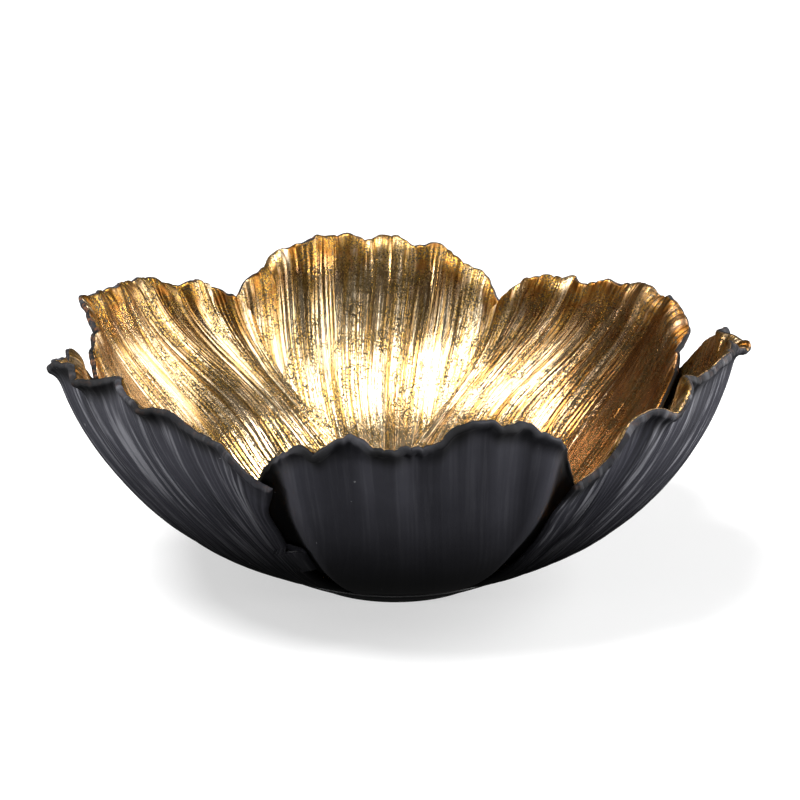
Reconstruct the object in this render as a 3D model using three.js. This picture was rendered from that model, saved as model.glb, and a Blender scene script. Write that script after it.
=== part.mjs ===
// A decorative bowl in the form of an open flower: three inner and three outer petals on a round foot.
// Each petal is a sheet of black cast resin whose inside is gilded; a felt disc covers the underside.
// Millimetres and degrees, +Z up. The origin is the centre of the felt's underside, on the table.
// Azimuth runs anticlockwise from +X as seen from above, so the front petal, towards -Y, is near 270.
import * as THREE from "three";

// Driving dimensions.
const BOWL_RADIUS = 173; // horizontal half-axis of the ellipse that the outside of the bowl follows
const BOWL_DEPTH = 146; // vertical half-axis of that ellipse
const CENTRE_HEIGHT = 148; // height of the ellipse's centre above the table
const CLAW_THICKNESS = 4.2; // resin at a petal's lower end, its claw
const RIM_THICKNESS = 2.8; // resin at a petal's rim
const LEAF_THICKNESS = 0.6; // the gilding: gold leaf and the ground that it is laid on
const SEAT_GAP = 0.3; // clearance between pieces that are bonded to each other
const TUCK_DEPTH = 7.4; // how far an inner petal's margins pass inside its outer neighbours
const TUCK_SPAN = 7; // degrees over which an inner petal dips from its bulge to that depth
const FELT_RADIUS = 43;
const FELT_THICKNESS = 1.2;
const FOOT_RADIUS = 47; // at the underside
const HUB_RADIUS = 24; // raised middle of the foot, which carries the inner petals' claws
const HUB_RAMP = 28; // radial distance over which the inner petals climb onto the hub
const SEAT_RADIUS = 66; // outer edge of the foot's dished seat
const INNER_CLAW_RADIUS = 3;
const OUTER_CLAW_RADIUS = HUB_RADIUS + 3;

// How a petal's grid is divided, across and from claw to rim.
const COLUMNS = 24;
const ROWS = 9;

// Azimuths of each outer petal's two side edges. The inner petals show in the windows between them.
const OUTER_EDGES = { back: [62.5, 128.5], front_left: [169, 249], front_right: [299.5, 381.5] };

// An inner petal's claws reach to the middles of the outer petals on either side of it.
const INNER_CLAW_EDGES = { front: [209, 340.5], back_left: [95.5, 209], back_right: [-19.5, 95.5] };

// Rim heights and outward flares are listed at equal steps from a petal's low azimuth edge to its high one.
// lean is how far, in degrees, the petal's middle line swings on its way down to the claw.
const INNER_PETALS = [
  {
    name: "front",
    edges: [243.5, 303.5],
    window: [OUTER_EDGES.front_left[1], OUTER_EDGES.front_right[0]],
    claws: INNER_CLAW_EDGES.front,
    lean: 1,
    heights: [93, 103, 115, 122, 128, 124, 126, 131, 136, 132, 125, 112, 93],
    flares: [0, 0, 2, 4, 1, 4, 0, 2, 4, 1, 5, 1, 0],
  },
  {
    name: "back_left",
    edges: [120.5, 173.5],
    window: [OUTER_EDGES.back[1], OUTER_EDGES.front_left[0]],
    claws: INNER_CLAW_EDGES.back_left,
    lean: -9,
    heights: [96, 112, 119, 122, 127, 130, 131, 131, 130, 127, 119, 108, 92],
    flares: [0, 0, 3, 1, 5, 6, 3, 1, 4, 2, -1, 0, 0],
  },
  {
    name: "back_right",
    edges: [16, 70],
    window: [OUTER_EDGES.front_right[1] - 360, OUTER_EDGES.back[0]],
    claws: INNER_CLAW_EDGES.back_right,
    lean: 9,
    heights: [92, 108, 118, 122, 124, 125, 125, 124, 121, 123, 120, 111, 96],
    flares: [0, 0, 3, -1, 4, 2, 4, 1, 0, 3, 1, 0, 0],
  },
];
const OUTER_PETALS = [
  {
    name: "back",
    edges: OUTER_EDGES.back,
    lean: 3,
    heights: [96, 103, 117, 127, 133, 135, 136, 137, 136, 131, 121, 108, 96],
    flares: [0, 0, 1, 4, 1, 3, 1, 4, 1, 3, 1, 0, 0],
  },
  {
    name: "front_left",
    edges: OUTER_EDGES.front_left,
    lean: 9,
    heights: [92, 104, 114, 121, 126, 126, 129, 132, 133, 134, 132, 133, 125, 114, 97],
    flares: [0, 0, 1, 2, 2, -2, 4, 1, 5, -1, 4, 4, 0, 1, 0],
  },
  {
    name: "front_right",
    edges: OUTER_EDGES.front_right,
    lean: -9,
    heights: [94, 105, 127, 129, 135, 141, 140, 136, 131, 126, 124, 126, 120, 108, 92],
    flares: [0, 0, 2, 5, -2, 5, 1, -2, 2, 3, 3, -3, 2, 0, 0],
  },
];

const blackResin = new THREE.MeshStandardMaterial({ color: 0x19191c, roughness: 0.42, metalness: 0 });
const goldLeaf = new THREE.MeshStandardMaterial({ color: 0xc8963e, roughness: 0.34, metalness: 1 });
const blackFelt = new THREE.MeshStandardMaterial({ color: 0x141414, roughness: 1, metalness: 0 });

const radians = THREE.MathUtils.degToRad;
const degrees = THREE.MathUtils.radToDeg;
const lerp = THREE.MathUtils.lerp;
const smoothstep = THREE.MathUtils.smoothstep;

// Angle of a point on the ellipse, from its lowest point, in degrees.
const angleAtHeight = (height) => degrees(Math.acos((CENTRE_HEIGHT - height) / BOWL_DEPTH));
const angleAtRadius = (radius) => degrees(Math.asin(radius / BOWL_RADIUS));

// The point of the ellipse at an angle, moved inwards along the ellipse's normal, as [radius, height].
function ellipsePoint(angle, inward) {
  const sine = Math.sin(radians(angle));
  const cosine = Math.cos(radians(angle));
  const slope = Math.hypot(sine / BOWL_RADIUS, cosine / BOWL_DEPTH);
  return [
    BOWL_RADIUS * sine - (inward * sine) / BOWL_RADIUS / slope,
    CENTRE_HEIGHT - BOWL_DEPTH * cosine + (inward * cosine) / BOWL_DEPTH / slope,
  ];
}

function bowlPoint(azimuth, angle, inward) {
  const [radius, height] = ellipsePoint(angle, inward);
  return new THREE.Vector3(radius * Math.cos(radians(azimuth)), radius * Math.sin(radians(azimuth)), height);
}

// A smooth line through values listed at equal steps, read at u from -1 to 1.
function alongRim(values, u) {
  const position = ((u + 1) / 2) * (values.length - 1);
  const step = Math.min(Math.floor(position), values.length - 2);
  const at = (i) => values[Math.max(0, Math.min(values.length - 1, i))];
  const t = position - step;
  const tangent = (i) => (at(i + 1) - at(i - 1)) / 2;
  const t2 = t * t;
  const t3 = t2 * t;
  return (
    (2 * t3 - 3 * t2 + 1) * at(step) +
    (t3 - 2 * t2 + t) * tangent(step) +
    (3 * t2 - 2 * t3) * at(step + 1) +
    (t3 - t2) * tangent(step + 1)
  );
}

// The rim's ruffles fade out below this share of the petal's length.
const RUFFLE_START = 0.6;
const ruffleShare = (v) => Math.max(0, (v - RUFFLE_START) / (1 - RUFFLE_START)) ** 2;

// An inner petal is widest at its claw, and narrows to its rim between these two angles of the ellipse.
const NARROW_FROM = 24;
const NARROW_TO = 75;
const NARROW_POWER = 2.2;
function narrowing(angle) {
  const share = THREE.MathUtils.clamp((angle - NARROW_FROM) / (NARROW_TO - NARROW_FROM), 0, 1);
  return 1 - (1 - share) ** NARROW_POWER;
}

// Where a petal's outer face is at u across it and v from claw to rim: azimuth, angle and inward offset.
function placeOnInnerPetal(petal, u, v) {
  const rimAngle = angleAtHeight(alongRim(petal.heights, u));
  const angle = lerp(angleAtRadius(INNER_CLAW_RADIUS), rimAngle, v);
  const radius = ellipsePoint(angle, 0)[0];
  const clearance = degrees(SEAT_GAP / radius);
  const claw = lerp(petal.claws[0] + clearance, petal.claws[1] - clearance, (u + 1) / 2);
  const rim = lerp(petal.edges[0], petal.edges[1], (u + 1) / 2);
  const azimuth = lerp(claw, rim, narrowing(angle)) + petal.lean * (1 - u * u) * (1 - v);
  const [low, high] = petal.window;
  const fromEdge = Math.min(azimuth - low, high - azimuth);
  const sideTuck = 1 - smoothstep(fromEdge, 0, TUCK_SPAN);
  const hubTuck = 1 - smoothstep(radius, HUB_RADIUS + 3, HUB_RADIUS + 3 + HUB_RAMP);
  const inward = TUCK_DEPTH * Math.max(sideTuck, hubTuck);
  return { azimuth, angle, inward: inward - alongRim(petal.flares, u) * ruffleShare(v) };
}

function placeOnOuterPetal(petal, u, v) {
  const rimAngle = angleAtHeight(alongRim(petal.heights, u));
  const angle = lerp(angleAtRadius(OUTER_CLAW_RADIUS), rimAngle, v);
  const azimuth = lerp(petal.edges[0], petal.edges[1], (u + 1) / 2) + petal.lean * (1 - u * u) * (1 - v);
  return { azimuth, angle, inward: -alongRim(petal.flares, u) * ruffleShare(v) };
}

// A closed sheet between two grids of points that face outwards and inwards.
function sheetGeometry(outerFace, innerFace) {
  const across = COLUMNS + 1;
  const faceSize = across * (ROWS + 1);
  const positions = [...outerFace, ...innerFace].flatMap((point) => point.toArray());
  const index = [];
  const quad = (a, b, c, d) => index.push(a, b, c, a, c, d);
  const outer = (i, j) => j * across + i;
  const inner = (i, j) => faceSize + outer(i, j);
  for (let j = 0; j < ROWS; j++) {
    for (let i = 0; i < COLUMNS; i++) {
      quad(outer(i, j), outer(i + 1, j), outer(i + 1, j + 1), outer(i, j + 1));
      quad(inner(i, j), inner(i, j + 1), inner(i + 1, j + 1), inner(i + 1, j));
    }
    quad(outer(0, j), outer(0, j + 1), inner(0, j + 1), inner(0, j));
    quad(outer(COLUMNS, j), inner(COLUMNS, j), inner(COLUMNS, j + 1), outer(COLUMNS, j + 1));
  }
  for (let i = 0; i < COLUMNS; i++) {
    quad(outer(i, 0), inner(i, 0), inner(i + 1, 0), outer(i + 1, 0));
    quad(outer(i, ROWS), outer(i + 1, ROWS), inner(i + 1, ROWS), inner(i, ROWS));
  }
  return new THREE.BufferGeometry()
    .setAttribute("position", new THREE.Float32BufferAttribute(positions, 3))
    .setIndex(index);
}

// A petal's face at a depth inside its outer face; depthAt gives that depth at v.
function petalFace(place, petal, depthAt) {
  const points = [];
  for (let j = 0; j <= ROWS; j++) {
    const v = j / ROWS;
    for (let i = 0; i <= COLUMNS; i++) {
      const { azimuth, angle, inward } = place(petal, (2 * i) / COLUMNS - 1, v);
      points.push(bowlPoint(azimuth, angle, inward + depthAt(v)));
    }
  }
  return points;
}

const resinThickness = (v) => lerp(CLAW_THICKNESS, RIM_THICKNESS, v);

function namedMesh(name, geometry, material) {
  const mesh = new THREE.Mesh(geometry, material);
  mesh.name = name;
  return mesh;
}

// The resin sheet of a petal, and the gilding on its inside.
function petalMeshes(place, petal, layer) {
  const face = (depthAt) => petalFace(place, petal, depthAt);
  const resin = sheetGeometry(face(() => 0), face(resinThickness));
  const leafFront = face((v) => resinThickness(v) + SEAT_GAP);
  const leafBack = face((v) => resinThickness(v) + SEAT_GAP + LEAF_THICKNESS);
  return [
    namedMesh(`${petal.name}_${layer}_petal`, resin, blackResin),
    namedMesh(`${petal.name}_${layer}_petal_gilding`, sheetGeometry(leafFront, leafBack), goldLeaf),
  ];
}

// A solid of revolution about +Z from a profile of [radius, height] points.
const TURNED_SEGMENTS = 60;
function turned(profile) {
  const points = profile.map(([radius, height]) => new THREE.Vector2(radius, height));
  return new THREE.LatheGeometry(points, TURNED_SEGMENTS).rotateX(Math.PI / 2);
}

// The foot: a disc with a flared flank, a dished seat for the petals and a raised hub in the middle.
const SEAT_STEPS = 4;
const HUB_STEPS = 2;
const FLANK = [[FOOT_RADIUS, FELT_THICKNESS], [FOOT_RADIUS + 11, 5.6], [SEAT_RADIUS, 11.2]];
function footProfile() {
  const seatPoint = (radius) => ellipsePoint(angleAtRadius(radius), -SEAT_GAP);
  const hubPoint = (radius) => ellipsePoint(angleAtRadius(radius), TUCK_DEPTH - SEAT_GAP);
  const profile = [[0, FELT_THICKNESS], ...FLANK];
  for (let i = 0; i <= SEAT_STEPS; i++) profile.push(seatPoint(lerp(SEAT_RADIUS, HUB_RADIUS, i / SEAT_STEPS)));
  for (let i = 0; i < HUB_STEPS; i++) profile.push(hubPoint(lerp(HUB_RADIUS, 0, i / HUB_STEPS)));
  profile.push([0, hubPoint(0)[1]]);
  return profile;
}

const feltHeight = FELT_THICKNESS - SEAT_GAP;
const felt = new THREE.CylinderGeometry(FELT_RADIUS, FELT_RADIUS, feltHeight, TURNED_SEGMENTS);
felt.rotateX(Math.PI / 2).translate(0, 0, feltHeight / 2);

const bowl = new THREE.Group();
bowl.add(namedMesh("foot", turned(footProfile()), blackResin));
bowl.add(namedMesh("felt_pad", felt, blackFelt));
for (const petal of INNER_PETALS) bowl.add(...petalMeshes(placeOnInnerPetal, petal, "inner"));
for (const petal of OUTER_PETALS) bowl.add(...petalMeshes(placeOnOuterPetal, petal, "outer"));

export default bowl;
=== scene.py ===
"""A decorative bowl in the form of an open flower: six ruffled petals, satin black outside and gilded inside.

The CAD model gives the frame. Its petals, foot and felt are replaced here by finer ones in the same places.
Shapes are worked out in millimetres and degrees, and turned into metres when a mesh is made.
Azimuth runs anticlockwise from +X as seen from above, so the front petal, towards -Y, is near 270.
"""

import math
from types import SimpleNamespace

import bpy
import numpy as np
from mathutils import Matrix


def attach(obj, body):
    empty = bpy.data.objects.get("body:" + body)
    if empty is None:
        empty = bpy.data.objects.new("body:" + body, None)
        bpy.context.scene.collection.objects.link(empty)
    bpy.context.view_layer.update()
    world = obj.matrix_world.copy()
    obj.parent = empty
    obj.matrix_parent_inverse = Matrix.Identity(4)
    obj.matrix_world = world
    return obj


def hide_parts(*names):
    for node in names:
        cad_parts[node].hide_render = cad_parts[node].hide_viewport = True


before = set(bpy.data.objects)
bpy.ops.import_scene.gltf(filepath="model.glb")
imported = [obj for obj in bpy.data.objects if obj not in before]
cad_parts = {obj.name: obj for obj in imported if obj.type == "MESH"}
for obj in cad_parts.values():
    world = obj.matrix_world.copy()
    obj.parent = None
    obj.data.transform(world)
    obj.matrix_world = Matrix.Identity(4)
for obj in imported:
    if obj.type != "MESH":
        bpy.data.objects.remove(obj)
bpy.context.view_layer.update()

MM = 0.001

# The bowl's outside follows an ellipse turned about the Z axis, as in the CAD model.
BOWL_RADIUS = 173
BOWL_DEPTH = 146
CENTRE_HEIGHT = 148  # of the ellipse, above the table
CLAW_THICKNESS = 4.2  # resin at a petal's lower end, its claw
RIM_THICKNESS = 2.8
LEAF_THICKNESS = 0.3
LEAF_GAP = 0.04
TUCK_DEPTH = 7.4  # how far an inner petal's sides pass inside its outer neighbours
HUB_RADIUS = 24  # raised middle of the foot, which carries the inner petals' claws
HUB_RAMP = 28  # radial distance over which the inner petals climb onto the hub
INNER_CLAW_RADIUS = 2
OUTER_CLAW_RADIUS = HUB_RADIUS + 3
SEAT_GAP = 0.3  # clearance between pieces that are bonded to each other
SEAT_RADIUS = 66  # outer edge of the foot's dished seat
FLANK_TOP = 11.2  # height at which the foot's hollow flank ends, just under the seat
FOOT_RADIUS = 47  # at the underside
FOOT_ROUNDING = 1.5
FELT_RADIUS = 43
FELT_THICKNESS = 0.9
FELT_ROUNDING = 0.25

# Grid of a petal: ribs run up the petal, so it has many more columns than rows.
COLUMNS = 340
ROWS = 105
EDGE_SHARE = 0.014  # share of a petal's width or length that has short steps, for its rounded edge
EDGE_STEPS = 5

RIB_PITCH = 2.9  # spacing of the ribs at the rim
RIB_HEIGHT_INSIDE = 0.6

# Azimuths of the outer petals' two sides, and of the inner petals' sides at their claws.
OUTER_EDGES = {"back": (62.5, 128.5), "front_left": (169, 249), "front_right": (299.5, 381.5)}
INNER_CLAW_EDGES = {"front": (209, 340.5), "back_left": (95.5, 209), "back_right": (-19.5, 95.5)}

# Every petal:
# edges: azimuths of its two sides at the rim. The low edge is the first.
# swing: how far the ribs in its middle turn aside on their way down, in degrees.
# tarnish_and_shade: how brown the gilding is at the low edge and at the high one, from 0 to 1, partly its own
# tarnish and partly painted shade where the petal catches little light.
# ribs: height of the ribs outside, which also says how strongly a painted highlight of lighter grey lies on
# their ridges.
# lip: width of the rim that the gilding leaves bare.
# worn: how much of the black has rubbed off the rim, from 0 to 1.
# bead: how much thicker the rim is on its outer side.
# folds: depth of the shallow folds that run up most of its length.
# ruffles: the rim's ruffles, as a share of their full size.
# heights: the rim above the table, at equal steps of azimuth.
# flares: how far the rim leans outwards, at equal steps.
# curls: how far the rim's last stretch rolls outwards, in degrees, at equal steps.
# Inner petals:
# window: azimuths of the neighbouring outer petals' edges, between which the petal is in full view.
# claws: azimuths of its two sides at the lower end.
# tuck_span: degrees over which its sides dip under those neighbours.
# Outer petals:
# torn: a step torn out of the high edge, from one height to another, and how far it juts out in degrees.
PETALS = [
    SimpleNamespace(
        name="front_inner_petal", inner=True, seed=11, edges=(243.5, 303.5), swing=2,
        tarnish_and_shade=(0.2, 0.2), ribs=0.05, lip=1.8, worn=0.0, bead=1.6, folds=0.1, ruffles=0.55, tuck_span=7,
        window=(OUTER_EDGES["front_left"][1], OUTER_EDGES["front_right"][0]),
        claws=INNER_CLAW_EDGES["front"],
        heights=[80, 90, 102, 113, 120, 123.5, 124.5, 126.5, 128, 127.5, 125, 124.5, 124,
                 125.5, 133, 135.5, 136, 132.5, 131.5, 128.5, 124.5, 120, 110, 94, 80],
        flares=[0, 0, 2, 4, 1, 4, 0, 2, 4, 1, 5, 1, 0],
        curls=[0, 10, 30, 45, 50, 40, 55, 30, 60, 35, 50, 10, 0],
    ),
    SimpleNamespace(
        name="back_left_inner_petal", inner=True, seed=23, edges=(120.5, 173.5), swing=-14,
        tarnish_and_shade=(0.1, 0.5), ribs=0.35, lip=0.9, worn=1.0, bead=0.5, folds=0.7, ruffles=1.0, tuck_span=16,
        window=(OUTER_EDGES["back"][1], OUTER_EDGES["front_left"][0]),
        claws=INNER_CLAW_EDGES["back_left"],
        heights=[97, 108, 116, 119, 122.5, 123, 126.5, 129, 129, 130.5,
                 130.5, 129.5, 130, 128.5, 123, 118, 113, 106, 96],
        flares=[0, 0, 3, 1, 5, 6, 3, 1, 4, 2, -1, 0, 0],
        curls=[0, 10, 40, 20, 50, 60, 30, 35, 50, 30, 20, 10, 0],
    ),
    SimpleNamespace(
        name="back_right_inner_petal", inner=True, seed=37, edges=(16, 70), swing=14,
        tarnish_and_shade=(1.0, 0.25), ribs=0.35, lip=0.9, worn=1.0, bead=0.5, folds=0.7, ruffles=1.0, tuck_span=16,
        window=(OUTER_EDGES["front_right"][1] - 360, OUTER_EDGES["back"][0]),
        claws=INNER_CLAW_EDGES["back_right"],
        heights=[92, 100, 109, 118, 122, 123, 123, 124.5, 125, 124,
                 123.5, 122, 120.5, 121.5, 122, 119.5, 115, 107.5, 98],
        flares=[0, 0, 3, -1, 4, 2, 4, 1, 0, 3, 1, 0, 0],
        curls=[0, 30, 80, 20, 70, 40, 45, 30, 25, 40, 20, 10, 0],
    ),
    SimpleNamespace(
        name="back_outer_petal", inner=False, seed=41, edges=OUTER_EDGES["back"], swing=3,
        tarnish_and_shade=(0.25, 0.15), ribs=0.4, lip=0.9, worn=1.0, bead=0.5, folds=0.7, ruffles=1.0, torn=None,
        heights=[88, 97, 104, 112, 119, 124, 129, 133, 132, 135, 136, 135,
                 138, 136, 136.5, 135, 132, 127, 122, 118, 109, 100, 90],
        flares=[0, 0, 1, 4, 1, 3, 1, 4, 1, 3, 1, 0, 0],
        curls=[0, 10, 20, 45, 20, 50, 25, 45, 30, 50, 20, 10, 0],
    ),
    SimpleNamespace(
        name="front_left_outer_petal", inner=False, seed=59, edges=OUTER_EDGES["front_left"], swing=12,
        tarnish_and_shade=(0.5, 0.2), ribs=0.55, lip=1.7, worn=0.1, bead=1.6, folds=0.7, ruffles=1.0,
        torn=(44, 59, 3.6),
        heights=[92, 101, 110, 116, 120, 120, 119, 122, 125, 127, 129.5, 132, 135, 137.5,
                 138, 134, 136, 139, 138, 134, 133, 132, 125, 121.5, 117, 104, 96],
        flares=[0, -4, -8, -10, -7, -3, 2, 1, 5, -1, 4, 4, 0, 1, 0],
        curls=[0, 20, 55, 70, 50, 30, 45, 30, 55, 20, 60, 45, 40, 10, 0],
    ),
    SimpleNamespace(
        name="front_right_outer_petal", inner=False, seed=67, edges=OUTER_EDGES["front_right"], swing=-12,
        tarnish_and_shade=(0.3, 0.7), ribs=0.9, lip=0.3, worn=0.15, bead=1.6, folds=0.7, ruffles=1.0, torn=None,
        heights=[92, 97, 107, 124, 127.5, 127, 136, 137, 134.5, 141, 141, 140, 139, 137,
                 134, 131, 128.5, 127, 127, 127, 126, 125, 122, 117.5, 111, 99, 92],
        flares=[0, 0, 2, 5, -2, 5, 1, -3, -3, -3, 0, -3, 2, 0, 0],
        curls=[0, 5, 30, 45, 10, 60, 30, 5, 50, 95, 60, -20, 30, 10, 0],
    ),
]


# Numbers that vary smoothly.

def lerp(a, b, share):
    return a + (b - a) * share


def smoothstep(low, high, value):
    share = np.clip((value - low) / (high - low), 0, 1)
    return share * share * (3 - 2 * share)


def read_line(values, share):
    """A smooth line through evenly spaced values, read at shares from 0 to 1."""
    values = np.asarray(values, float)
    last = len(values) - 1
    position = np.clip(share, 0, 1) * last
    step = np.minimum(position.astype(int), last - 1)
    t = position - step
    before, after = values[np.maximum(step - 1, 0)], values[np.minimum(step + 2, last)]
    start, end = values[step], values[step + 1]
    slope_in, slope_out = (end - before) / 2, (after - start) / 2
    return (
        (2 * t**3 - 3 * t**2 + 1) * start
        + (t**3 - 2 * t**2 + t) * slope_in
        + (3 * t**2 - 2 * t**3) * end
        + (t**3 - t**2) * slope_out
    )


def random_line(seed, swings, share):
    """Smooth noise from -1 to 1 along a line, with about that many values in it."""
    return read_line(np.random.default_rng(seed).uniform(-1, 1, swings + 1), share)


def random_field(seed, across, along, s, t):
    """Smooth noise from -1 to 1 over a rectangle, s and t running from 0 to 1."""
    values = np.random.default_rng(seed).uniform(-1, 1, (across + 2, along + 2))
    x, y = np.clip(s, 0, 1) * across, np.clip(t, 0, 1) * along
    i, j = np.floor(x).astype(int), np.floor(y).astype(int)
    a, b = smoothstep(0, 1, x - i), smoothstep(0, 1, y - j)
    low = lerp(values[i, j], values[i + 1, j], a)
    high = lerp(values[i, j + 1], values[i + 1, j + 1], a)
    return lerp(low, high, b)


# The ellipse.

def angle_at_height(height):
    return np.degrees(np.arccos((CENTRE_HEIGHT - height) / BOWL_DEPTH))


def angle_at_radius(radius):
    return np.degrees(np.arcsin(radius / BOWL_RADIUS))


def ellipse_point(angle, outward):
    """Radius and height of the ellipse at an angle, moved outwards along its normal."""
    sine, cosine = np.sin(np.radians(angle)), np.cos(np.radians(angle))
    slope = np.hypot(sine / BOWL_RADIUS, cosine / BOWL_DEPTH)
    radius = BOWL_RADIUS * sine + outward * sine / BOWL_RADIUS / slope
    height = CENTRE_HEIGHT - BOWL_DEPTH * cosine - outward * cosine / BOWL_DEPTH / slope
    return radius, height


def length_per_degree(angle):
    sine, cosine = np.sin(np.radians(angle)), np.cos(np.radians(angle))
    return np.radians(np.hypot(BOWL_RADIUS * cosine, BOWL_DEPTH * sine))


# A petal's surface.

# Ellipse angles between which an inner petal goes from its claw's azimuths to its rim's, and how suddenly.
NARROW_FROM, NARROW_TO, NARROW_POWER = 24, 75, 2.2
SWING_SPAN = 0.5  # the ribs have turned fully aside at this share of the petal's length below the rim
CURL_LENGTH = 11
SMALLEST_CURL = 0.02  # radians. A curl of 0 would have no roll radius.
HIGHEST_RIM = 144
BEAD_WIDTH = 6.5  # the rim is thickened outside over this length below it
MEAN_LENGTH = 200
MEAN_HALF_WIDTH = 85
INNER_SIDE_LIP, OUTER_SIDE_LIP = 0.4, 5  # widths of the sides that the gilding leaves bare
FLARE_START, FLARE_POWER = 0.35, 1.5  # share of the length from which the petal leans out, and how suddenly
RUFFLE_START, RUFFLE_POWER = 0.65, 2
FOLDS_START, FOLDS_FULL = 0.25, 0.5  # shares of the length, as are those of the ribs and the wavy sides
RIBS_START, RIBS_FULL = 0.12, 0.45
SIDE_START, SIDE_FULL = 0.3, 0.5
CALM_SIDES = 0.2  # share of the half width at each side over which unevenness dies out
SIDE_POWER, TORN_POWER = 12, 14  # how close to its side an outer petal's waves and its torn step stay
TORN_RISE, TORN_FALL = 2, 1.5  # heights over which the torn step begins and ends
WEAR_FROM, WEAR_TO = 0.3, 2.0  # distances below the rim between which the wear dies out

# Unevenness: how far each kind goes either way, and how many swings of it fit across or along a petal.
# The curls and the sides change in degrees, and the others in millimetres.
NOTCH_SIZE, NOTCH_SWINGS = 1.6, 24
NICK_SIZE, NICK_SWINGS = 0.8, 75
CURL_CHANGE, CURL_SWINGS = 20, 22
RUFFLE_SIZE, RUFFLE_SWINGS = 2.4, 17
RIPPLE_SIZE, RIPPLE_SWINGS = 1.3, 34
SIDE_WAVE, SIDE_SWINGS = 1.3, 9


def uneven_steps(count, at_start):
    """Shares from 0 to 1: even steps, with short ones near the end and, if asked, near the start."""
    short = EDGE_SHARE * (np.arange(EDGE_STEPS) / EDGE_STEPS) ** 1.5
    first = EDGE_SHARE if at_start else 0
    middle = np.linspace(first, 1 - EDGE_SHARE, count + 1)
    return np.concatenate([short if at_start else [], middle, 1 - short[::-1]])


def petal_azimuth(petal, u, v, angle, radius):
    """Azimuths of a petal's points: u runs across it from -1 to 1, and v up it from 0 to 1."""
    share = (u + 1) / 2
    azimuth = lerp(petal.edges[0], petal.edges[1], share)
    if petal.inner:
        clearance = np.degrees(SEAT_GAP / radius)
        claw = lerp(petal.claws[0] + clearance, petal.claws[1] - clearance, share)
        toward_claw = 1 - np.clip((angle - NARROW_FROM) / (NARROW_TO - NARROW_FROM), 0, 1)
        azimuth = lerp(claw, azimuth, 1 - toward_claw**NARROW_POWER)
    else:
        wave = SIDE_WAVE * random_line(petal.seed + 8, SIDE_SWINGS, v) * np.sign(u) * np.abs(u) ** SIDE_POWER
        azimuth = azimuth + wave * smoothstep(SIDE_START, SIDE_FULL, v)
        if petal.torn:
            low, high, jut = petal.torn
            height = ellipse_point(angle, 0)[1]
            above = smoothstep(low - TORN_RISE, low, height)
            below = 1 - smoothstep(high - TORN_FALL, high, height)
            azimuth = azimuth + jut * (above * below) * np.clip(u, 0, 1) ** TORN_POWER
    return azimuth + petal.swing * (1 - u * u) * smoothstep(0, SWING_SPAN, 1 - v)


def petal_surface(petal, u, v):
    """Points of the petal's outer face, their distance below the rim, and how far they are tucked in."""
    share = (u + 1) / 2
    calm = smoothstep(0, CALM_SIDES, 1 - np.abs(u))
    notches = NOTCH_SIZE * random_line(petal.seed, NOTCH_SWINGS, share)
    ragged = notches + NICK_SIZE * random_line(petal.seed + 1, NICK_SWINGS, share)
    rim = angle_at_height(np.minimum(read_line(petal.heights, share) + ragged * calm, HIGHEST_RIM))
    claw_radius = INNER_CLAW_RADIUS if petal.inner else OUTER_CLAW_RADIUS
    claw = angle_at_radius(claw_radius)
    angle = lerp(claw, rim, v)
    below_rim = (rim - angle) * length_per_degree(angle)

    # The rim's last stretch rolls outwards on an arc.
    uneven = CURL_CHANGE * random_line(petal.seed + 2, CURL_SWINGS, share) * calm
    curl = np.radians(read_line(petal.curls, share) + uneven)
    curl = np.where(np.abs(curl) < SMALLEST_CURL, SMALLEST_CURL, curl)
    above_start = np.clip(CURL_LENGTH - below_rim, 0, None)
    turn = curl * above_start / CURL_LENGTH
    roll_radius = CURL_LENGTH / curl
    angle = angle + (roll_radius * np.sin(turn) - above_start) / length_per_degree(angle)
    outward = roll_radius * (1 - np.cos(turn))

    # The petal leans in or out towards its rim, ruffles grow there, and shallow folds run most of its length.
    lean = np.clip((v - FLARE_START) / (1 - FLARE_START), 0, None) ** FLARE_POWER
    flare = read_line(petal.flares, share) * lean
    near_rim = np.clip((v - RUFFLE_START) / (1 - RUFFLE_START), 0, None) ** RUFFLE_POWER
    ruffles = RUFFLE_SIZE * random_line(petal.seed + 3, RUFFLE_SWINGS, share)
    waves = ruffles + RIPPLE_SIZE * random_line(petal.seed + 4, RIPPLE_SWINGS, share)
    outward = outward + flare + petal.ruffles * waves * calm * near_rim
    folds = petal.folds * random_field(petal.seed + 5, 16, 3, share, v)
    outward = outward + folds * calm * smoothstep(FOLDS_START, FOLDS_FULL, v)

    radius = ellipse_point(angle, 0)[0]
    azimuth = petal_azimuth(petal, u, v, angle, radius)
    recess = np.zeros_like(radius)
    if petal.inner:
        low, high = petal.window
        side = 1 - smoothstep(0, petal.tuck_span, np.minimum(azimuth - low, high - azimuth))
        hub = 1 - smoothstep(OUTER_CLAW_RADIUS, OUTER_CLAW_RADIUS + HUB_RAMP, radius)
        recess = np.maximum(side, hub)
        outward = outward - TUCK_DEPTH * recess

    radius, height = ellipse_point(angle, outward)
    turn = np.radians(azimuth)
    points = np.stack([radius * np.cos(turn), radius * np.sin(turn), height], axis=-1)
    return points, below_rim, recess


def outward_normals(points):
    """Unit normals of a grid of points whose columns run up the petal."""
    normals = np.cross(np.gradient(points, axis=0), np.gradient(points, axis=1))
    return normals / np.linalg.norm(normals, axis=-1, keepdims=True)


def rib_relief(petal, u, v, offset):
    """Relief of the ribs from about -1 to 1, different for each offset."""
    share = (u + 1) / 2
    width = math.radians(petal.edges[1] - petal.edges[0]) * BOWL_RADIUS
    count = int(width / RIB_PITCH)
    drift = share + 1.2 / count * random_field(petal.seed + offset, 12, 3, share, v)
    strength = 0.6 + 0.4 * random_field(petal.seed + offset + 1, 40, 3, share, v)
    ribs = np.sin(2 * math.pi * count * drift) * strength
    uneven = random_field(petal.seed + offset + 2, count, 4, drift, v)
    return 0.45 * ribs + 0.55 * uneven


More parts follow.
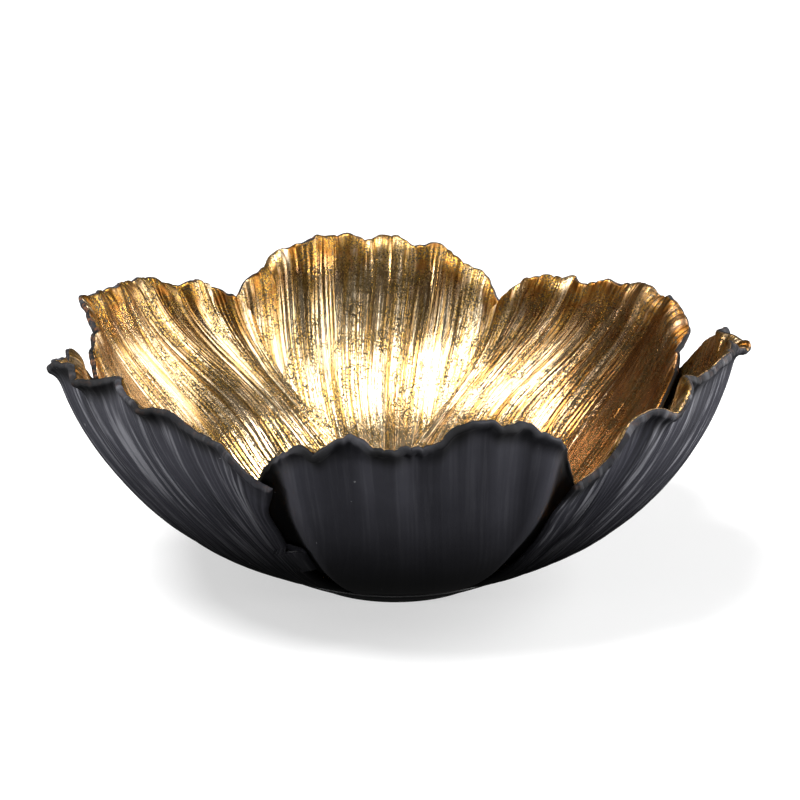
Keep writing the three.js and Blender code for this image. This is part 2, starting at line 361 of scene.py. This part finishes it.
def round_off(thickness, distance):
    """The thickness of a sheet at a distance from its edge, where the edge is a half round."""
    short = 1 - np.clip(distance / (0.75 * thickness), 0, 1)
    return thickness * np.sqrt(np.clip(1 - short**2, 0.0025, 1))


def petal_grid(petal, inset, side_inset):
    """Places across and along a petal for a grid that stops short of its rim and of its sides."""
    columns = 2 * uneven_steps(COLUMNS, True) - 1
    rows = uneven_steps(ROWS, False)
    u, v = np.meshgrid(columns, rows, indexing="ij")
    uneven = 1 + 0.6 * random_line(petal.seed + 9, 60, (u + 1) / 2)
    return u * (1 - side_inset / MEAN_HALF_WIDTH), v * (1 - inset * uneven / MEAN_LENGTH)


def petal_faces(petal, u, v):
    """A petal's outer and inner faces, its normals, and the fields that its materials read."""
    surface, below_rim, recess = petal_surface(petal, u, v)
    normals = outward_normals(surface)
    width = np.linalg.norm(np.diff(surface, axis=0), axis=-1).sum(axis=0)
    from_edge = np.minimum(below_rim, (1 - np.abs(u)) / 2 * width)
    thickness = lerp(CLAW_THICKNESS, RIM_THICKNESS, v)
    half = round_off(thickness, from_edge)[..., None] / 2
    middle = surface - normals * thickness[..., None] / 2

    off_edge = np.clip(from_edge / 2, 0, 1)
    strength = smoothstep(RIBS_START, RIBS_FULL, v) * off_edge
    lumps = 0.7 + 0.5 * random_line(petal.seed + 11, 26, (u + 1) / 2)
    bead = petal.bead * lumps * (1 - np.clip(below_rim / BEAD_WIDTH, 0, 1) ** 2) ** 2 * off_edge
    outside = (petal.ribs * strength * rib_relief(petal, u, v, 100) + bead)[..., None]
    relief = rib_relief(petal, u, v, 200)
    creased = 1 - 2 * np.abs(relief) ** 0.8
    inside = (RIB_HEIGHT_INSIDE * strength * (0.4 * relief + 0.6 * creased))[..., None]
    fields = {
        "below_rim": below_rim,
        "recess": recess,
        "ribbing": np.full_like(u, petal.ribs),
        "lip_shade": 0.7 + 0.3 * random_line(petal.seed + 10, 20, (u + 1) / 2),
        "wear": petal.worn * (1 - smoothstep(WEAR_FROM, WEAR_TO, below_rim)),
        "crease": np.clip(0.5 - 0.5 * inside[..., 0] / RIB_HEIGHT_INSIDE, 0, 1),
        "tarnish_and_shade": lerp(petal.tarnish_and_shade[0], petal.tarnish_and_shade[1], (u + 1) / 2),
    }
    return middle + normals * (half + outside), middle - normals * (half + inside), normals, fields


def make_petal(petal, lacquer, leaf):
    """A petal's resin, and the gilding on its inner face."""
    u, v = petal_grid(petal, 0, 0)
    outer, inner, normals, fields = petal_faces(petal, u, v)
    resin = closed_sheet(f"{petal.name}_resin", outer, inner, lacquer, fields, u, v)
    finish_piece(resin, "black_resin", petal.name)

    u, v = petal_grid(petal, petal.lip, INNER_SIDE_LIP if petal.inner else OUTER_SIDE_LIP)
    outer, inner, normals, fields = petal_faces(petal, u, v)
    back = inner - normals * LEAF_GAP
    front = back - normals * LEAF_THICKNESS
    gilding = closed_sheet(f"{petal.name}_leaf", back, front, leaf, fields, u, v)
    finish_piece(gilding, "gold_leaf", f"{petal.name}_gilding")


# Meshes.

def mesh_object(name, vertices, faces, material):
    """A smooth-shaded object from vertices in millimetres."""
    mesh = bpy.data.meshes.new(name)
    mesh.from_pydata((np.asarray(vertices) * MM).tolist(), [], [list(face) for face in faces])
    mesh.polygons.foreach_set("use_smooth", np.ones(len(mesh.polygons), bool))
    mesh.materials.append(material)
    mesh.update()
    piece = bpy.data.objects.new(name, mesh)
    bpy.context.scene.collection.objects.link(piece)
    return piece


def add_field(mesh, name, values):
    """A number at each vertex, which a material reads by its name."""
    mesh.attributes.new(name, "FLOAT", "POINT").data.foreach_set("value", values.astype(np.float32))


def add_uv(mesh, s, t):
    loops = np.empty(len(mesh.loops), int)
    mesh.loops.foreach_get("vertex_index", loops)
    layer = mesh.uv_layers.new(name="petal")
    layer.data.foreach_set("uv", np.stack([s[loops], t[loops]], axis=-1).ravel().astype(np.float32))


def grid_quads(across, along, first, flipped):
    i, j = np.meshgrid(np.arange(across - 1), np.arange(along - 1), indexing="ij")
    corner = first + i * along + j
    quads = np.stack([corner, corner + along, corner + along + 1, corner + 1], axis=-1).reshape(-1, 4)
    return quads[:, ::-1] if flipped else quads


def closed_sheet(name, outer, inner, material, fields, u, v):
    """A closed sheet between two grids of points, the first of which faces outwards."""
    across, along = outer.shape[:2]
    size = across * along
    index = np.arange(size).reshape(across, along)
    loop = np.concatenate([index[:, 0], index[-1, 1:], index[-2::-1, -1], index[0, -2:0:-1]])
    following = np.roll(loop, -1)
    border = np.stack([loop, loop + size, following + size, following], axis=-1)
    faces = np.concatenate([
        grid_quads(across, along, 0, False),
        grid_quads(across, along, size, True),
        border,
    ])
    vertices = np.concatenate([outer.reshape(-1, 3), inner.reshape(-1, 3)])
    piece = mesh_object(name, vertices, faces, material)
    for field, values in fields.items():
        add_field(piece.data, field, np.tile(values.ravel(), 2))
    add_uv(piece.data, np.tile((u.ravel() + 1) / 2, 2), np.tile(v.ravel(), 2))
    return piece


def turned(name, profile, segments, material):
    """A solid of revolution from a profile of (radius, height) that starts and ends on the axis."""
    inner = np.array(profile[1:-1], float)
    count = len(inner)
    turns = np.linspace(0, 2 * math.pi, segments, endpoint=False)
    rings = np.stack([
        np.outer(np.cos(turns), inner[:, 0]),
        np.outer(np.sin(turns), inner[:, 0]),
        np.tile(inner[:, 1], (segments, 1)),
    ], axis=-1).reshape(-1, 3)
    poles = [[0, 0, profile[0][1]], [0, 0, profile[-1][1]]]
    faces = []
    for k in range(segments):
        a, b = k * count, (k + 1) % segments * count
        faces += [[a + i, b + i, b + i + 1, a + i + 1] for i in range(count - 1)]
        faces.append([segments * count, b, a])
        faces.append([segments * count + 1, a + count - 1, b + count - 1])
    return mesh_object(name, np.concatenate([rings, poles]), faces, material)


# Materials.

class Shader:
    """A Principled material that nodes are added to one at a time."""

    def __init__(self, name):
        self.material = bpy.data.materials.new(name)
        self.material.use_nodes = True
        self.tree = self.material.node_tree
        self.principled = self.tree.nodes["Principled BSDF"]

    def set(self, **values):
        for name, value in values.items():
            self.principled.inputs[name.replace("_", " ")].default_value = value

    def node(self, kind, inputs=None, **settings):
        node = self.tree.nodes.new(kind)
        for name, value in settings.items():
            setattr(node, name, value)
        for name, value in (inputs or {}).items():
            if isinstance(value, bpy.types.NodeSocket):
                self.tree.links.new(value, node.inputs[name])
            else:
                node.inputs[name].default_value = value
        return node

    def link(self, socket, name):
        self.tree.links.new(socket, self.principled.inputs[name])

    def field(self, name):
        return self.node("ShaderNodeAttribute", attribute_name=name).outputs["Fac"]

    def position(self):
        return self.node("ShaderNodeTexCoord").outputs["Object"]

    def along_petal(self, across, along):
        """Coordinates that run across and up a petal, so that noise read with them makes streaks."""
        uv = self.node("ShaderNodeUVMap", uv_map="petal").outputs["UV"]
        scale = self.node("ShaderNodeMapping", {"Vector": uv, "Scale": (across, along, 1)})
        return scale.outputs["Vector"]

    def noise(self, vector, scale, detail=3, roughness=0.55):
        return self.node(
            "ShaderNodeTexNoise", {"Vector": vector, "Scale": scale, "Detail": detail, "Roughness": roughness}
        ).outputs["Fac"]

    def ramp(self, value, low, high, low_out=0.0, high_out=1.0):
        return self.node(
            "ShaderNodeMapRange",
            {"Value": value, "From Min": low, "From Max": high, "To Min": low_out, "To Max": high_out},
            interpolation_type="SMOOTHSTEP",
        ).outputs["Result"]

    def math(self, operation, a, b):
        return self.node("ShaderNodeMath", {0: a, 1: b}, operation=operation, use_clamp=True).outputs[0]

    def mix(self, share, a, b):
        node = self.node("ShaderNodeMix", data_type="RGBA")
        for socket, value in ((node.inputs[0], share), (node.inputs[6], a), (node.inputs[7], b)):
            if isinstance(value, bpy.types.NodeSocket):
                self.tree.links.new(value, socket)
            else:
                socket.default_value = value
        return node.outputs[2]

    def bump(self, height, distance, strength, after=None):
        inputs = {"Height": height, "Distance": distance, "Strength": strength}
        if after is not None:
            inputs["Normal"] = after
        return self.node("ShaderNodeBump", inputs).outputs["Normal"]


def colour(red, green, blue):
    return (red, green, blue, 1)


BLUE_BLACK = colour(0.027, 0.027, 0.034)
CHARCOAL = colour(0.039, 0.039, 0.048)
# the colour of the painted highlight on the black's rib ridges
RIB_HIGHLIGHT_GREY = colour(0.21, 0.21, 0.23)
# the colour of the painted shade on the black
PAINTED_SHADE_BLACK = colour(0.0008, 0.0008, 0.0012)
DUST_GREY = colour(0.2, 0.2, 0.21)
WORN_BROWN = colour(0.12, 0.05, 0.022)


def black_lacquer():
    """Satin black resin with painted shade that deepens it towards the foot, under the rim's rolled lips and
    where petals go under others, and a painted highlight of lighter grey on the rib ridges.
    """
    shader = Shader("black_lacquer")
    shader.set(Metallic=0, Specular_IOR_Level=0.3)
    place = shader.position()
    streaks = shader.noise(shader.along_petal(80, 3), scale=1, detail=4)
    grain = shader.noise(place, scale=900, detail=2)
    worn = shader.noise(place, scale=260, detail=4, roughness=0.65)
    cloud = shader.noise(place, scale=22, detail=4)
    wear = shader.math("MULTIPLY", shader.field("wear"), shader.ramp(worn, 0.5, 0.62))
    dust = shader.ramp(shader.noise(place, scale=420, detail=0), 0.88, 0.9)
    # Painted shade: the black darkens towards the foot, within about 14 mm of the rim under its rolled lip,
    # and where an inner petal's sides dip under its neighbours.
    height = shader.node("ShaderNodeSeparateXYZ", {"Vector": place}).outputs["Z"]
    low = shader.ramp(height, 30 * MM, 102 * MM, 1, 0)
    near_rim = shader.ramp(shader.field("below_rim"), 5, 14, 1, 0)
    lip = shader.math("MULTIPLY", near_rim, shader.field("lip_shade"))
    gap = shader.ramp(shader.field("recess"), 0.5, 0.95)
    painted_shade = shader.math("MAXIMUM", shader.math("MAXIMUM", low, gap), lip)
    body = shader.mix(shader.ramp(cloud, 0.3, 0.7), BLUE_BLACK, CHARCOAL)
    # A painted highlight: lighter grey along the ridges of the streaks, as strong as each petal's ribs.
    ridge_highlight = shader.math("MULTIPLY", shader.ramp(streaks, 0.5, 0.64), shader.field("ribbing"))
    ridge_highlighted = shader.mix(ridge_highlight, body, RIB_HIGHLIGHT_GREY)
    shade_painted = shader.mix(painted_shade, ridge_highlighted, PAINTED_SHADE_BLACK)
    dusty = shader.mix(dust, shade_painted, DUST_GREY)
    shader.link(shader.mix(wear, dusty, WORN_BROWN), "Base Color")
    scratches = shader.math("MULTIPLY", streaks, shader.field("ribbing"))
    dull = shader.math("MULTIPLY", lip, 0.35)
    shader.link(shader.math("ADD", shader.ramp(scratches, 0, 0.6, 0.52, 0.38), dull), "Roughness")
    fine = shader.bump(scratches, 1.2 * MM, 0.8)
    shader.link(shader.bump(grain, 0.05 * MM, 0.4, fine), "Normal")
    return shader.material


PALE_GOLD = colour(0.98, 0.85, 0.62)
DEEP_GOLD = colour(0.60, 0.355, 0.095)
BAND_BROWN = colour(0.25, 0.145, 0.045)
# the colour of the painted shade in the gold's creases
CREASE_SHADE_BROWN = colour(0.20, 0.085, 0.018)
# partly tarnish and partly painted shade, for the gold
TARNISH_AND_SHADE_BROWN = colour(0.19, 0.056, 0.004)
RIM_RUST = colour(0.20, 0.075, 0.013)
EDGE_TAN = colour(0.5, 0.33, 0.20)
GRAIN_YELLOW = colour(0.50, 0.30, 0.042)
PIT_BLACK = colour(0.04, 0.026, 0.009)


def gold_leaf():
    """Gold leaf over ribs: pale streaks, brown bands, painted shade of brown in the creases, a brown that is
    partly tarnish and partly painted shade, yellow grains, dark pits, a rusty rim.
    """
    shader = Shader("gold_leaf")
    place = shader.position()
    streaks = shader.noise(shader.along_petal(75, 2.5), scale=1, detail=6, roughness=0.7)
    fine_streaks = shader.noise(shader.along_petal(330, 8), scale=1, detail=3, roughness=0.65)
    bands = shader.noise(shader.along_petal(30, 1.6), scale=1, detail=4, roughness=0.6)
    patches = shader.noise(shader.along_petal(9, 4.5), scale=1, detail=5, roughness=0.65)
    speckle = shader.noise(place, scale=900, detail=3, roughness=0.7)
    grains = shader.noise(place, scale=1300, detail=3, roughness=0.7)
    flecks = shader.noise(place, scale=130, detail=5, roughness=0.7)
    crease = shader.field("crease")
    below_rim = shader.field("below_rim")

    bright = shader.mix(shader.ramp(streaks, 0.38, 0.62), PALE_GOLD, DEEP_GOLD)
    banded = shader.mix(shader.ramp(bands, 0.47, 0.62, 0, 0.75), bright, BAND_BROWN)
    # Painted shade: a warm brown in the creases between the inside ribs, in patches.
    in_patches = shader.ramp(patches, 0.3, 0.6, 0.6, 1)
    crease_shade_share = shader.math("MULTIPLY", shader.ramp(crease, 0.5, 0.9), in_patches)
    crease_shaded = shader.mix(crease_shade_share, banded, CREASE_SHADE_BROWN)
    # Partly tarnish and partly painted shade: each petal is browned by set amounts from one side to the
    # other, darkest on a petal that catches little light.
    tarnish_and_shade_share = shader.math("MULTIPLY", shader.field("tarnish_and_shade"), 0.9)
    warm = shader.mix(tarnish_and_shade_share, crease_shaded, TARNISH_AND_SHADE_BROWN)
    rim_noise = shader.noise(shader.along_petal(14, 4), scale=1, detail=4)
    near_rim = shader.ramp(below_rim, 6, 42, 1, 0)
    rim_share = shader.math("MULTIPLY", near_rim, shader.ramp(rim_noise, 0.36, 0.54))
    rimmed = shader.mix(rim_share, warm, RIM_RUST)
    edge = shader.mix(shader.ramp(below_rim, 0.3, 1.2, 0.7, 0), rimmed, EDGE_TAN)

    # Where the leaf has rubbed thin, the yellow ground shows in grains and the leaf is pitted.
    clustered = shader.ramp(patches, 0.38, 0.55, 0.15, 1)
    thin = shader.math("MULTIPLY", shader.ramp(flecks, 0.38, 0.52), clustered)
    thin_and_clean = shader.math("MULTIPLY", thin, shader.math("SUBTRACT", 1.0, tarnish_and_shade_share))
    yellow_share = shader.math("MULTIPLY", shader.ramp(grains, 0.48, 0.53), thin_and_clean)
    yellowed = shader.mix(yellow_share, edge, GRAIN_YELLOW)
    pits = shader.math("MULTIPLY", shader.ramp(speckle, 0.48, 0.53), shader.ramp(thin, 0, 1, 0.04, 1))
    shader.link(shader.mix(pits, yellowed, PIT_BLACK), "Base Color")
    shader.link(shader.math("SUBTRACT", 1.0, shader.math("MULTIPLY", pits, 0.5)), "Metallic")

    rough_specks = shader.ramp(speckle, 0.35, 0.65, 0.0, 0.1)
    uneven = shader.math("ADD", rough_specks, shader.ramp(patches, 0.3, 0.7, 0.1, 0.2))
    shader.link(shader.math("ADD", uneven, shader.ramp(below_rim, 0, 30, 0.16, 0)), "Roughness")
    scored = shader.bump(streaks, 0.8 * MM, 0.5)
    scored = shader.bump(fine_streaks, 0.2 * MM, 0.5, scored)
    shader.link(shader.bump(grains, 0.03 * MM, 0.5, scored), "Normal")
    return shader.material


def felt_material():
    shader = Shader("pressed_felt")
    shader.set(Specular_IOR_Level=0.1)
    fibres = shader.noise(shader.position(), scale=1500, detail=5, roughness=0.7)
    dark, light = colour(0.008, 0.008, 0.008), colour(0.035, 0.035, 0.036)
    shader.link(shader.mix(fibres, dark, light), "Base Color")
    shader.set(Roughness=1.0, Sheen_Weight=0.3)
    shader.link(shader.bump(fibres, 0.3 * MM, 0.8), "Normal")
    return shader.material


def floor_material():
    """A grey floor that glows a little, so that it looks nearly white and its shadow stays light."""
    shader = Shader("pale_floor")
    cloud = shader.noise(shader.position(), scale=1.5, detail=2)
    dark, light = colour(0.44, 0.44, 0.44), colour(0.46, 0.46, 0.46)
    shader.link(shader.mix(cloud, dark, light), "Base Color")
    shader.set(Roughness=0.9, Specular_IOR_Level=0.1)
    shader.set(Emission_Color=colour(1, 1, 1), Emission_Strength=0.55)
    return shader.material


# Pieces.

def finish_piece(piece, slot, *nodes):
    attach(piece, "root")
    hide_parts(*nodes)


def make_petals(lacquer):
    leaf = gold_leaf()
    for petal in PETALS:
        make_petal(petal, lacquer, leaf)


FLAT_RING = 20  # radius of a ring on the flat faces, which keeps their triangles short
HUB_END = 4  # radius of the hub's last ring
FOOT_SEGMENTS = 192
FELT_SEGMENTS = 128


def make_foot(lacquer):
    """The foot: a rounded lower edge, a hollow flank, and the dished seat that the petals are bonded to."""
    underside = FELT_THICKNESS + SEAT_GAP
    edge_radius = FOOT_RADIUS - FOOT_ROUNDING
    edge_height = underside + FOOT_ROUNDING
    lower_edge = [
        (edge_radius + FOOT_ROUNDING * math.cos(turn), edge_height + FOOT_ROUNDING * math.sin(turn))
        for turn in np.radians(np.linspace(-90, 0, 7))
    ]
    flank = [
        (lerp(FOOT_RADIUS, SEAT_RADIUS, share), lerp(edge_height, FLANK_TOP, share**1.15))
        for share in np.linspace(0, 1, 9)[1:]
    ]
    seat_radii = np.linspace(SEAT_RADIUS, HUB_RADIUS, 12)
    seat = [ellipse_point(angle_at_radius(radius), SEAT_GAP) for radius in seat_radii]
    hub_radii = np.linspace(HUB_RADIUS, HUB_END, 5)
    hub = [ellipse_point(angle_at_radius(radius), SEAT_GAP - TUCK_DEPTH) for radius in hub_radii]
    top = ellipse_point(0.0, SEAT_GAP - TUCK_DEPTH)[1]
    profile = [(0, underside), (FLAT_RING, underside), *lower_edge, *flank, *seat, *hub, (0, top)]
    finish_piece(turned("foot_casting", profile, FOOT_SEGMENTS, lacquer), "black_resin", "foot")


def make_felt():
    flat_radius = FELT_RADIUS - FELT_ROUNDING
    profile = [
        (0, 0),
        (FLAT_RING, 0),
        (flat_radius, 0),
        (FELT_RADIUS, FELT_ROUNDING),
        (FELT_RADIUS, FELT_THICKNESS - FELT_ROUNDING),
        (flat_radius, FELT_THICKNESS),
        (FLAT_RING, FELT_THICKNESS),
        (0, FELT_THICKNESS),
    ]
    finish_piece(turned("felt_disc", profile, FELT_SEGMENTS, felt_material()), "black_felt", "felt_pad")


# The stage: floor, light and camera, in metres.

FLOOR_HALF = 6.0
AIM_HEIGHT = 65 * MM
CAMERA_DISTANCE = 1.3
CAMERA_ELEVATION = 18.0  # the camera's place, in degrees above the horizon
CAMERA_PITCH = 16.84  # how far it looks down
CAMERA_YAW = 0.11  # how far it looks aside
CAMERA_LENS = 115.3
LIGHT_AIM = (0, 0, 0.05)
WORLD_SEEN = 1.0  # strength of the world as the camera sees it
WORLD_LIT = 0.02  # and as light


def make_floor():
    """The floor. It sends no light back to the bowl, so that the underside stays dark."""
    mesh = bpy.data.meshes.new("floor")
    half = FLOOR_HALF
    corners = [(-half, -half, 0), (half, -half, 0), (half, half, 0), (-half, half, 0)]
    mesh.from_pydata(corners, [], [(0, 1, 2, 3)])
    mesh.materials.append(floor_material())
    floor = bpy.data.objects.new("floor", mesh)
    bpy.context.scene.collection.objects.link(floor)
    floor.visible_diffuse = False
    floor.visible_glossy = False


def area_light(name, place, width, depth, power):
    """A rectangular softbox that looks at the bowl."""
    data = bpy.data.lights.new(name, "AREA")
    data.shape = "RECTANGLE"
    data.size = width
    data.size_y = depth
    data.energy = power
    light = bpy.data.objects.new(name, data)
    bpy.context.scene.collection.objects.link(light)
    light.location = place
    direction = light.location.copy()
    direction.x, direction.y, direction.z = (aim - own for aim, own in zip(LIGHT_AIM, place))
    light.rotation_euler = direction.to_track_quat("-Z", "Y").to_euler()


def sun_light(name, azimuth, elevation, spread, strength):
    """A soft light from far away, in the direction given, that lights the whole floor evenly."""
    data = bpy.data.lights.new(name, "SUN")
    data.energy = strength
    data.angle = math.radians(spread)
    light = bpy.data.objects.new(name, data)
    bpy.context.scene.collection.objects.link(light)
    light.rotation_euler = (math.radians(90 - elevation), 0, math.radians(azimuth + 90))


def make_lights():
    sun_light("key_softbox", azimuth=226, elevation=64, spread=25, strength=5.2)
    sun_light("overhead_fill", azimuth=270, elevation=80, spread=140, strength=0.2)
    area_light("front_strip", place=(0, -2.2, 0.08), width=1.6, depth=0.16, power=16)
    area_light("left_strip", place=(-2.1, -0.5, 0.14), width=0.8, depth=0.2, power=40)
    area_light("right_strip", place=(2.1, -0.5, 0.14), width=0.8, depth=0.2, power=50)
    area_light("right_softbox", place=(1.7, -0.05, 1.2), width=1.6, depth=1.4, power=44)
    area_light("front_left_softbox", place=(-1.3, -0.95, 1.35), width=0.8, depth=0.6, power=5)
    area_light("back_right_softbox", place=(1.5, 1.0, 0.85), width=0.9, depth=0.8, power=3.5)


def make_world():
    """Even white to the camera and nearly black to everything else."""
    world = bpy.data.worlds.new("studio")
    world.use_nodes = True
    tree = world.node_tree
    background = tree.nodes["Background"]
    rays = tree.nodes.new("ShaderNodeLightPath")
    strength = tree.nodes.new("ShaderNodeMapRange")
    strength.inputs["To Min"].default_value = WORLD_LIT
    strength.inputs["To Max"].default_value = WORLD_SEEN
    tree.links.new(rays.outputs["Is Camera Ray"], strength.inputs["Value"])
    tree.links.new(strength.outputs["Result"], background.inputs["Strength"])
    background.inputs["Color"].default_value = (1, 1, 1, 1)
    bpy.context.scene.world = world


def make_camera():
    data = bpy.data.cameras.new("camera")
    data.lens = CAMERA_LENS
    camera = bpy.data.objects.new("camera", data)
    bpy.context.scene.collection.objects.link(camera)
    rise = math.radians(CAMERA_ELEVATION)
    camera.location = (0, -CAMERA_DISTANCE * math.cos(rise), AIM_HEIGHT + CAMERA_DISTANCE * math.sin(rise))
    camera.rotation_euler = (math.radians(90 - CAMERA_PITCH), 0, math.radians(-CAMERA_YAW))
    bpy.context.scene.camera = camera


make_camera()
make_world()
make_floor()
make_lights()
lacquer = black_lacquer()
make_petals(lacquer)
make_foot(lacquer)
make_felt()
bpy.context.scene.view_settings.view_transform = "Standard"
